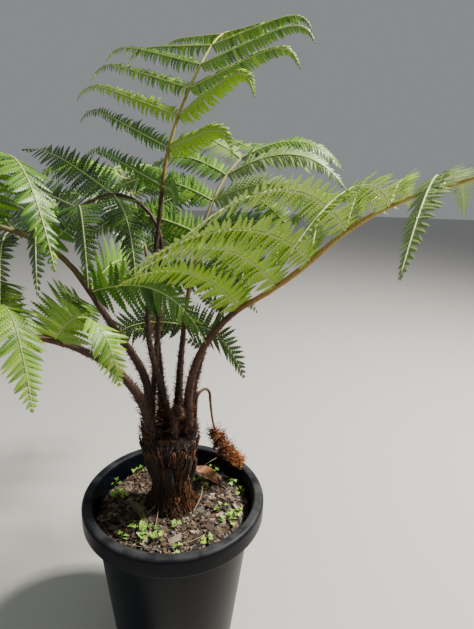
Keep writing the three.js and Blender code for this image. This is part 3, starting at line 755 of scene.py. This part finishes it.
def stalk_radius(f, u):
    """The stalk tapers quickly to the first pinnae and then evenly to its tip."""
    low = STALK_RADIUS + (RIB_RADIUS - STALK_RADIUS) * np.minimum(u / f["bare"], 1) ** 0.7
    high = RIB_RADIUS + (RIB_TIP_RADIUS - RIB_RADIUS) * (u - f["bare"]) / (1 - f["bare"])
    return f["girth"] * np.where(u < f["bare"], low, high)


def pinna(f, number, points, k, side, share):
    """Pinna k on one side, grown to that share: it leaves square to the stalk, swept and lifted,
    then droops as d = out - z droop (s share)^late. Returns its line, the stalk's heading at
    its foot, its length and how far up the leafy part it stands. The left pinnae of some fronds
    have numbers of their own."""
    f = {**f, **f.get("left", {})} if side < 0 else f
    v = (k / (f["pairs"] - 0.35)) ** 0.94
    u = f["bare"] + (1 - f["bare"]) * v
    along = heading(points, u)
    across = np.cross(level(np.radians(f["azimuth"] + f["turn"] * u)), (0, 0, 1))
    across, normal = tilted(across, unit(np.cross(across, along)), np.radians(f.get("roll", 0)))
    seed = number * 40 + k

    def angle(low, high, salt):
        return np.radians(low + (high - low) * v + 4 * spread(seed, side + salt))

    fullness = (0.66 + 0.34 * min(1, v / 0.3) ** 0.8) * (1 - v**2.6) ** 0.8
    length = f["pinna"] * fullness * (1 + 0.05 * spread(seed, side + 2)) * share
    sweep, lift = angle(*f["sweep"], 5), angle(*f["lift"], 8)
    out = (across * side * np.cos(sweep) + along * np.sin(sweep)) * np.cos(lift) + normal * np.sin(lift)
    s = ((np.arange(PINNA_STEPS) + 0.5) / PINNA_STEPS * share) ** f["late"]
    steps = unit(out - f["droop"] * s[:, None] * (0, 0, 1)) * length / PINNA_STEPS
    start = (at(points, u) - ROOT_DEPTH * stalk_radius(f, u) * out)[None]
    return np.vstack([start, start + np.cumsum(steps, axis=0)]), along, length, v


def grown(f, number, points, nodes):
    """Every pinna of a frond: its line, the stalk's heading, its length, how far up it stands and
    its side. Its share is the one whose tip lies on the frond's solid. Where the solid has none,
    for want of room, a short one stands."""
    corners = np.vstack([np.array([v.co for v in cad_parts[n].data.vertices]) for n in nodes]) / MM
    made = []
    for k, side in itertools.product(range(f["pairs"]), (1, -1)):
        for share in SHARES + (LEFT_OFF_SHARE,):
            line, along, length, v = pinna(f, number, points, k, side, share)
            if np.linalg.norm(corners - line[-1], axis=1).min() < TIP_NEAR:
                break
        made.append((line, along, length, v, side))
    return made


# The stalks. Stiff round stems, dark brown and rough at the foot, going over to tan and then to
# green where the pinnae start. Rusty scales stand thick at the foot and thin out upward.
STALK_SIDES = 16
STALK_RINGS = 90
RIB_SIDES = 10
LEAFY_LAP = 0.012
RIDGE_FOOT = 304
RIDGE_RINGS = 30
SCALE_COUNT = 1100
SCALE_ODDS = [0.20, 0.30, 0.34, 0.16]
STALK_BROWNS = {
    # foot, middle and top of the bare stalk, then the rib's tip
    "a": ((0.020, 0.008, 0.005), (0.034, 0.015, 0.008), (0.30, 0.22, 0.040), (0.40, 0.42, 0.060)),
    "b": ((0.034, 0.012, 0.006), (0.085, 0.029, 0.011), (0.34, 0.170, 0.036), (0.44, 0.38, 0.080)),
    "c": ((0.024, 0.009, 0.005), (0.058, 0.022, 0.010), (0.17, 0.095, 0.032), (0.36, 0.38, 0.090)),
    "other": ((0.022, 0.009, 0.005), (0.050, 0.019, 0.009), (0.11, 0.062, 0.024), (0.22, 0.24, 0.055)),
}


def stalk_finish(name, browns, bare):
    """Scaly stalk: four colours along it, broken up by fine dark scars drawn out up the stem."""
    look = fresh(name)
    along = node(look, "Attribute", {}, attribute_name="along").outputs["Fac"]
    along = combined(look, "ADD", along, between(look, noise(look, 60, 4), 0, 1, -0.06, 0.06))
    base = blend(look, between(look, along, 0.02, 0.55 * bare), browns[0], browns[1])
    base = blend(look, between(look, along, 0.94 * bare, 1.14 * bare), base, browns[2])
    base = blend(look, between(look, along, 1.1 * bare, 0.8), base, browns[3])
    scars = between(look, noise(look, 380, 5, (1, 1, 0.4)), 0.52, 0.70)
    dark = tuple(0.35 * c for c in browns[1])
    fading = between(look, along, 0.1, 0.9, 0.85, 0.15)
    base = blend(look, combined(look, "MULTIPLY", scars, fading), base, dark)
    return finish(look, base, 0.62, noise(look, 700, 4), 0.0007)


def ring_of(share, rings):
    """Which of a tube's rings a point belongs to, from how far along the tube it lies."""
    return np.round(share * (rings - 1)).astype(int)


def stalk_tube(f, points, start, end, rings, sides):
    """A length of stalk with low bumps, and how far along the whole stalk each point lies."""
    u = np.linspace(start, end, rings)
    across = np.cross(level(np.radians([f["azimuth"] + f["turn"] / 2])), (0, 0, 1))
    centre = at(points, u)
    made, faces, share = tubes(centre[None], stalk_radius(f, u)[None], across, sides)
    bumps = 0.10 * rough(made, 3.2, 21) + 0.08 * rough(made * (1, 1, 0.3), 9, 22)
    made += (made - centre[ring_of(share, rings)]) * bumps[:, None]
    return made, faces, start + (end - start) * share


def stalk_base(f):
    """The base of a stalk at the crown's edge: it runs on down the trunk's side as a ridge and
    sinks into the trunk."""
    z = np.linspace(CROWN_HEIGHT + 5, RIDGE_FOOT, RIDGE_RINGS)
    turn = np.radians(f["foot"][0]) + 0.05 * np.sin(z / 11 + f["foot"][0])
    r = np.interp(z, [RIDGE_FOOT, 330, 358, 380, CROWN_HEIGHT], [18, 23, 28, 32, f["foot"][1]])
    path = trunk_axis(z) + r[:, None] * level(turn)
    radii = stalk_radius(f, 0) * np.interp(z, [RIDGE_FOOT, 350, 385, CROWN_HEIGHT], [0.75, 1.0, 1.05, 1.0])
    made, faces, share = tubes(path[None], radii[None], np.cross((0, 0, 1), level(turn[:1])), 18)
    bumps = 1.1 * rough(made * (1, 1, 0.2), 3.0, 41) + 0.7 * rough(made, 2.0, 42)
    return made + bumps[:, None] * unit(made - path[ring_of(share, RIDGE_RINGS)]), faces


def stalk_scales(f, points, count, reach, dice):
    """Scales on the bare stalk: they stand out and forward, thick at the foot and thinner up to
    reach along it."""
    u = reach * dice.uniform(0, 1, count) ** 1.9
    along = heading(points, u)
    out = unit(np.cross(along, dice.normal(size=(count, 3))))
    feet = at(points, u) + out * (stalk_radius(f, u) * 0.92)[:, None]
    ways = unit(out + dice.uniform(0.1, 1.6, (count, 1)) * along + 0.3 * dice.normal(size=(count, 3)))
    size = (3 + 9 * (1 - u / reach)) * dice.uniform(0.6, 1.2, count)
    return bristles(feet, ways, size, dice.uniform(0.5, 1.2, count), 0.3, dice)


# The blades. Each pinna is a pale midrib with leaflets set close along both sides, and each
# leaflet is a thin blade cut into forward-pointing lobes, with its own pale vein. The leaflets of
# the tall frond curl down hard; the near ones lie nearly flat.
TWIG_SIDES = 5
TWIG_FOOT = 0.098
TWIG_TIP = 0.034
VEIN_LIFT = 0.28
FOLD = 0.34
ODD_LEAFLETS = 0.22
LIGHTEST_TINT = 5


def leaflet_stations(lobes):
    """Where a leaflet's edge turns, for each station along it: share of the length, share of the
    half width, and how far the edge leans forward there as a share of the length. A lobe has a
    shoulder before its point, and the cut behind it goes two thirds of the way to the vein. The
    base is broad, so that neighbours meet at the rib."""
    steps = np.arange(lobes) + 0.15
    turns = np.stack([steps, steps + 0.42, steps + 0.62], 1).ravel()
    x = np.concatenate([[0], turns, [lobes]]) / lobes
    width = np.concatenate([[0.95, 0.90], np.tile([0.36, 0.86, 1.0], lobes)[1:], [0.0]])
    lean = np.concatenate([[0], np.tile([0.0, 0.10, 0.55], lobes), [0]]) / lobes
    return x, width * np.minimum(1, 0.85 + 2 * x) * (1 - x**2.4) ** 0.75, lean


def leaflets(feet, ways, normals, lengths, halves, curls, lobes):
    """Lobed blades, one per row of the arrays. A point at share x along a leaflet lies at
    foot + way L sin(c x) / c - normal L (1 - cos(c x)) / c, so it curls by c radians; the edges
    stand off it sideways and, away from the rib, drop a third of that. Returns blades and veins
    as triangles."""
    x, width, lean = leaflet_stations(lobes)
    n, m = len(feet), len(x)
    side = unit(np.cross(normals, ways))

    def spine(x):
        c = curls[:, None] * x
        run = lengths[:, None] * np.sin(c) / curls[:, None]
        fall = lengths[:, None] * (1 - np.cos(c)) / curls[:, None]
        line = feet[:, None] + run[..., None] * ways[:, None] - fall[..., None] * normals[:, None]
        forward = np.cos(c)[..., None] * ways[:, None] - np.sin(c)[..., None] * normals[:, None]
        above = np.cos(c)[..., None] * normals[:, None] + np.sin(c)[..., None] * ways[:, None]
        return line, forward, above

    line, forward, above = spine(x[None] * np.ones((n, 1)))
    reach = (halves[:, None] * width)[..., None]
    ahead = (lengths[:, None] * lean)[..., None] * forward
    fold = FOLD * np.minimum(1, 3 * x)[:, None] * reach * above
    edge = [line + ahead + s * reach * side[:, None] - fold for s in (-1, 1)]
    points = np.stack([edge[0], line, edge[1]], 2)
    a = 3 * np.arange(m - 1)[:, None]
    one = np.vstack([a + cell for cell in ([0, 3, 4], [0, 4, 1], [1, 4, 5], [1, 5, 2])])
    # The last station is the tip, where both edges meet the vein, so its cells have no area.
    tip = 3 * (m - 1) + 1
    flat = [(one == tip).any(axis=1) & (one == edge_tip).any(axis=1) for edge_tip in (tip - 1, tip + 1)]
    one = one[~(flat[0] | flat[1])]
    blades = points.reshape(-1, 3), (one[None] + 3 * m * np.arange(n)[:, None, None]).reshape(-1, 3)
    line, forward, above = spine(np.array([[0, 0.4, 0.85]]) * np.ones((n, 1)))
    line = line + VEIN_LIFT * above
    half = (halves[:, None] * (0.13, 0.09, 0.0))[..., None] * side[:, None]
    left, right = line - half, line + half
    veins = triple_blades(np.stack([left[:, 0], right[:, 0], left[:, 1], right[:, 1], line[:, 2]], 1))
    return blades, veins


def dressed(f, pinnae, dice):
    """The leaflets of all of a frond's pinnae: feet, ways, normals, lengths, half widths, curls,
    and the green of each. Leaflets stand evenly along a pinna on both sides of its rib, longest
    near its foot, swept forward more towards its tip. A pinna takes the green of its place, which
    paints the light and shade there, and a few of its leaflets are a tint lighter or darker."""
    rows = []
    greens = f["greens"]
    for line, along, length, v, side in pinnae:
        ways = unit(np.gradient(line, axis=0))
        wide = unit(along - ways * (ways @ along)[:, None])
        wide, normal = tilted(wide, unit(-side * np.cross(wide, ways)), PINNA_TILT)
        count = max(int(length * 0.97 / f["spacing"]), 4)
        t = np.repeat((np.arange(count) + 0.55) / count, 2)
        edge = np.tile([1.0, -1.0], count)
        t = t + 0.25 / count * (edge < 0)
        sweep = np.radians(14 + 30 * t) + dice.normal(0, 0.06, 2 * count)
        half = min(f["width"] * (1 - 0.35 * v), length * 0.3)
        full = (0.62 + 0.38 * np.minimum(1, t / 0.14)) * np.clip(1 - t**2.3, 0, 1) ** 0.85 + 0.04
        m, w, n = at(ways, t), at(wide, t), at(normal, t)
        d = (edge * np.cos(sweep))[:, None] * w + np.sin(sweep)[:, None] * m
        d = unit(d + 0.10 * dice.normal(size=(2 * count, 1)) * n)
        green = greens[int(np.clip(v * len(greens) + dice.normal(0, 0.5), 0, len(greens) - 1))]
        odd = (dice.uniform(size=2 * count) < ODD_LEAFLETS) * dice.choice([-1, 1], 2 * count)
        tint = np.where(green > LIGHTEST_TINT, green, np.clip(green + odd, 0, LIGHTEST_TINT))
        rows.append((
            at(line, t), d, unit(n - d * np.sum(n * d, axis=1, keepdims=True)),
            half * full * dice.uniform(0.92, 1.06, 2 * count),
            np.full(2 * count, f["breadth"] * f["spacing"]) * (0.55 + 0.45 * full),
            f["curl"] * dice.uniform(0.75, 1.25, 2 * count), tint,
        ))
    return [np.concatenate(column) for column in zip(*rows)]


def ribs(f, points, pinnae, thick, rings, sides, twig_sides):
    """The leafy length of a stalk with the rib of each pinna, thick at each of its points.
    Returns points, triangles, 1 for each triangle of a pinna's rib, and how far along it lies."""
    rib, rib_faces, along = stalk_tube(f, points, f["bare"] - LEAFY_LAP, 1, rings, sides)
    lines = np.array([line for line, *_ in pinnae])
    across = np.array([heading_of for _, heading_of, *_ in pinnae])
    twigs, twig_faces, _ = tubes(lines, thick, across, twig_sides)
    made, faces = joined([(rib, rib_faces), (twigs, twig_faces)])
    pale = np.repeat([0, 1], [len(rib_faces), len(twig_faces)])
    return made, faces, pale, np.concatenate([along, np.ones(len(twigs))])


# The fern greens are one leaf green painted at levels of light and shade, with two more tints.
leaf_looks = plain("fern green", GREENS, 0.42, specular_ior_level=0.42)
leaf_looks.append(finish(fresh("leaf vein"), (0.27, 0.40, 0.085), 0.5))
rib_look = finish(fresh("pale leaf rib"), (0.40, 0.48, 0.17), 0.5)
for number, f in enumerate(FRONDS[:-1]):
    name, points = f["name"], course(f)
    nodes = [f"frond_{name}_blade_1", f"frond_{name}_blade_2"]
    pinnae = grown(f, number, points, nodes)
    browns = STALK_BROWNS.get(name, STALK_BROWNS["other"])
    scaly = stalk_finish(f"scaly stalk {name}", browns, f["bare"])
    made, faces, along = stalk_tube(f, points, 0, f["bare"] - LEAFY_LAP, STALK_RINGS, STALK_SIDES)
    stalk = place(f"frond_{name}_stem", "stalk", made, faces, [scaly], marks={"along": along})
    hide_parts(f"frond_{name}_stalk")
    if f["foot"][1] > CROWN_RADIUS / 2:
        place(f"frond_{name}_base", "trunk", *stalk_base(f), [bark])
    made, faces = stalk_scales(f, points, SCALE_COUNT, f["bare"] * 0.95, dice)
    tints = dealt(SCALE_ODDS, SCALE_COUNT, BRISTLE_FACES, dice)
    place(f"frond_{name}_scales", "stalk", made, faces, hair_looks, tints)
    thick = np.array([length**0.5 for _, _, length, *_ in pinnae])[:, None]
    thick = thick * np.linspace(TWIG_FOOT, TWIG_TIP, PINNA_STEPS + 1)
    made, faces, tints, along = ribs(f, points, pinnae, thick, STALK_RINGS, RIB_SIDES, TWIG_SIDES)
    place(f"frond_{name}_ribs", "stalk", made, faces, [scaly, rib_look], tints, {"along": along})
    *shape, tint = dressed(f, pinnae, dice)
    blades, veins = leaflets(*shape, f["lobes"])
    tints = np.repeat(tint, len(blades[1]) // len(tint))
    tints = np.concatenate([tints, np.full(len(veins[1]), len(GREENS))])
    blade = place(f"frond_{name}_leaflets", "leaf", *joined([blades, veins]), leaf_looks, tints)
    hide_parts(*nodes)

# The young frond. A crozier still rolled up: a short stem that coils into a disc, thick with
# rusty scales, standing at the front of the crown.
CROZIER_HEIGHT = 46
CROZIER_COIL = 9
CROZIER_EYE = 3.5
CROZIER_X = 4
CROZIER_Y = -24
CROZIER_TURN = np.radians(430)
CROZIER_RINGS = 70
CROZIER_STEM = 0.4
CROZIER_FACING = np.array([0.8, -0.6, 0])
CROZIER_BROWNS = ((0.02, 0.009, 0.005), (0.06, 0.022, 0.009), (0.12, 0.050, 0.018), (0.09, 0.060, 0.020))
CROZIER_SCALES = 1100
CROZIER_SCALE_ODDS = [0.20, 0.34, 0.34, 0.12]
t = np.linspace(0, 1, CROZIER_RINGS)
rise = np.minimum(t / CROZIER_STEM, 1) * CROZIER_HEIGHT
turn = np.maximum(t - CROZIER_STEM, 0) / (1 - CROZIER_STEM) * CROZIER_TURN
coil = CROZIER_COIL + (CROZIER_EYE - CROZIER_COIL) * turn / CROZIER_TURN
path = (CROZIER_COIL - np.cos(turn) * coil)[:, None] * CROZIER_FACING
path[:, 2] = rise + np.sin(turn) * coil
path += (CROZIER_X, CROZIER_Y, CROWN_HEIGHT + CLEARANCE)
radii = np.interp(t, [0, CROZIER_STEM, 1], [6, 4.6, 3.2])
made, faces, along = tubes(path[None], radii[None], np.cross((0, 0, 1), CROZIER_FACING)[None], 14)
made += 0.5 * np.stack([rough(made, 2.4, 30 + k) for k in range(3)], -1)
young = stalk_finish("young frond", CROZIER_BROWNS, 0.6)
crozier = place("young_frond", "crozier", made, faces, [young], marks={"along": along})
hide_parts("crozier")
pick = dice.integers(0, CROZIER_RINGS, CROZIER_SCALES)
out = unit(np.cross(np.gradient(path, axis=0)[pick], dice.normal(size=(CROZIER_SCALES, 3))))
feet = path[pick] + out * radii[pick, None] * 0.9
ways = unit(out + 0.6 * unit(np.gradient(path, axis=0))[pick])
lengths, widths = dice.uniform(2, 6, CROZIER_SCALES), dice.uniform(0.5, 1.0, CROZIER_SCALES)
made, faces = bristles(feet, ways, lengths, widths, 0.4, dice)
tints = dealt(CROZIER_SCALE_ODDS, CROZIER_SCALES, BRISTLE_FACES, dice)
place("young_frond_scales", "crozier", made, faces, hair_looks, tints)

# The withered frond. It hangs out over the rim at the right, dry and rusty, its leaflets rolled
# up into crumpled strings on a thin dark stem.
RUSTS = [(0.160, 0.052, 0.018), (0.380, 0.140, 0.040), (0.600, 0.290, 0.100)]
DRY_BROWNS = ((0.05, 0.02, 0.01), (0.10, 0.04, 0.018), (0.20, 0.085, 0.035), (0.26, 0.12, 0.05))
DRY_RINGS = 40
DRY_STEM_SIDES = 9
DRY_RIB_SIDES = 7
DRY_TWIG_SIDES = 4
DRY_LAYERS = 4
dead = FRONDS[-1]
points = course(dead)
pinnae = grown(dead, len(FRONDS) - 1, points, ["frond_dead_blade"])
dry_stem = stalk_finish("dry stem", DRY_BROWNS, 0.4)
made, faces, along = stalk_tube(dead, points, 0, dead["bare"] - LEAFY_LAP, DRY_RINGS, DRY_STEM_SIDES)
stem = place("withered_stem", "withered_leaf", made, faces, [dry_stem], marks={"along": along})
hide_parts("frond_dead_stalk")
thick = np.linspace(0.9, 0.4, PINNA_STEPS + 1) * np.ones((len(pinnae), 1))
made, faces, _, along = ribs(dead, points, pinnae, thick, DRY_RINGS, DRY_RIB_SIDES, DRY_TWIG_SIDES)
place("withered_ribs", "withered_leaf", made, faces, [dry_stem], marks={"along": along})
layers = [dressed(dead, pinnae, dice) for _ in range(DRY_LAYERS)]
feet, ways, normals, lengths, halves, curls, tint = [np.concatenate(column) for column in zip(*layers)]
ways = unit(ways + 0.7 * dice.normal(size=ways.shape))
normals = unit(np.cross(ways, dice.normal(size=ways.shape)))
lengths = lengths * dice.uniform(0.8, 3.4, len(tint))
(made, faces), _ = leaflets(feet, ways, normals, lengths, halves, curls, dead["lobes"])
tints = np.repeat(np.clip(tint, 0, len(RUSTS) - 1), len(faces) // len(tint))
withered = place("withered_leaflets", "withered_leaf", made, faces, plain("withered leaf", RUSTS, 0.8), tints)
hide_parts("frond_dead_blade")

# The studio. A plain pale floor, a small strong light high on the right, a broad weak one at the
# left and an even pale surround. The camera stands where the photograph was taken from.
CAMERA_PLACE = (95, -674, 801)
CAMERA_PITCH = 17
CAMERA_ROLL = 2
FOCAL_PIXELS = 472
PICTURE_HEIGHT = 629
SENSOR = 36
FLOOR_REACH = 9
PLANT_MIDDLE = (0, 0, 0.5)
floor_corners = [(x * FLOOR_REACH, y * FLOOR_REACH, 0) for x, y in ((-1, -1), (1, -1), (1, 1), (-1, 1))]
floor_mesh = bpy.data.meshes.new("floor")
floor_mesh.from_pydata(floor_corners, [], [(0, 1, 2, 3)])
floor = bpy.data.objects.new("floor", floor_mesh)
floor.data.materials.append(finish(fresh("pale floor"), (0.52, 0.51, 0.49), 0.85))
bpy.context.scene.collection.objects.link(floor)


def lit_from(name, where, size, power, colour):
    """A square area light of that size in metres and power in watts, turned to face the plant.
    Its own axis -Z is its beam."""
    lamp = bpy.data.lights.new(name, "AREA")
    lamp.shape = "SQUARE"
    lamp.size = size
    lamp.energy = power
    lamp.color = colour
    made = bpy.data.objects.new(name, lamp)
    made.location = where
    beam = Vector(PLANT_MIDDLE) - Vector(where)
    made.rotation_euler = beam.to_track_quat("-Z", "Y").to_euler()
    bpy.context.scene.collection.objects.link(made)


lit_from("key light", (1.7, 0.5, 2.6), 0.35, 235, (1.0, 0.95, 0.85))
lit_from("fill light", (-1.9, -1.8, 1.6), 2.0, 10, (0.92, 0.96, 1.0))
world = bpy.data.worlds.new("surround")
world.use_nodes = True
surround = world.node_tree.nodes["Background"].inputs
surround["Color"].default_value = (0.86, 0.89, 0.92, 1)
surround["Strength"].default_value = 0.30
bpy.context.scene.world = world

lens = bpy.data.cameras.new("camera")
lens.sensor_fit = "VERTICAL"
lens.sensor_height = SENSOR
lens.lens = FOCAL_PIXELS / PICTURE_HEIGHT * SENSOR
lens.clip_start = 0.02
camera = bpy.data.objects.new("camera", lens)
camera.location = [c * MM for c in CAMERA_PLACE]
pitch, roll = np.radians(CAMERA_PITCH), np.radians(CAMERA_ROLL)
unrolled_up = np.array([0, np.sin(pitch), np.cos(pitch)])
back = -np.array([0, np.cos(pitch), -np.sin(pitch)])
right, up = tilted(np.array([1, 0, 0]), unrolled_up, roll)
camera.rotation_euler = Matrix(np.stack([right, up, back], 1).tolist()).to_euler()
bpy.context.scene.collection.objects.link(camera)
bpy.context.scene.camera = camera
